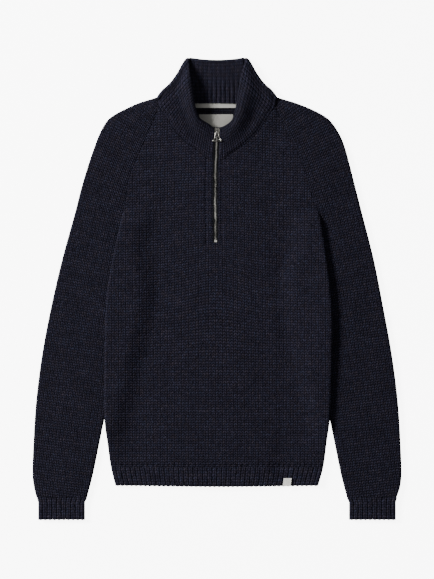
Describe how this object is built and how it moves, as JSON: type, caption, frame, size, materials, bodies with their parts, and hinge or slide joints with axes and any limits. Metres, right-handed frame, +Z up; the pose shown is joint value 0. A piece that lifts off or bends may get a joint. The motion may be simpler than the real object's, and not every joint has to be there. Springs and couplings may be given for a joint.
{
  "type": "quarter zip sweater",
  "caption": "Chunky navy melange quarter zip sweater with raglan sleeves and ribbed collar, cuffs and hem, laid flat face up",
  "frame": {"origin": "on the surface it lies on, below the middle of its outline", "axes": "+X to the right of the picture, +Y from hem to collar, +Z up from the surface"},
  "size_m": [0.6642, 0.8287, 0.0239],
  "materials": {
    "knit": "matt melange stockinette",
    "rib": "matt melange rib",
    "cotton_tape": "woven cream tape",
    "satin": "satin",
    "woven_tab": "woven tab",
    "zip_tape": "woven twill tape",
    "metal": "antique silver plating"
  },
  "bodies": {
    "garment": {"front_body": "knit", "back_body": "knit", "sleeve_left": "knit", "sleeve_right": "knit", "cuff_left": "rib", "cuff_right": "rib", "hem_front": "rib", "hem_back": "rib", "collar": "rib", "neck_tape": "cotton_tape", "neck_label": "satin", "hem_label": "woven_tab", "zip_tape": "zip_tape", "zip_chain": "metal", "zip_stop": "metal", "zip_slider": "metal"},
    "pull": {"zip_pull": "metal"}
  },
  "joints": [
    {"name": "pull_hinge", "type": "hinge", "parent": "garment", "child": "pull", "pos_m": [0, 0.2814, 0.0144], "axis": [-1, 0, 0], "range_deg": [0, 165]}
  ]
}
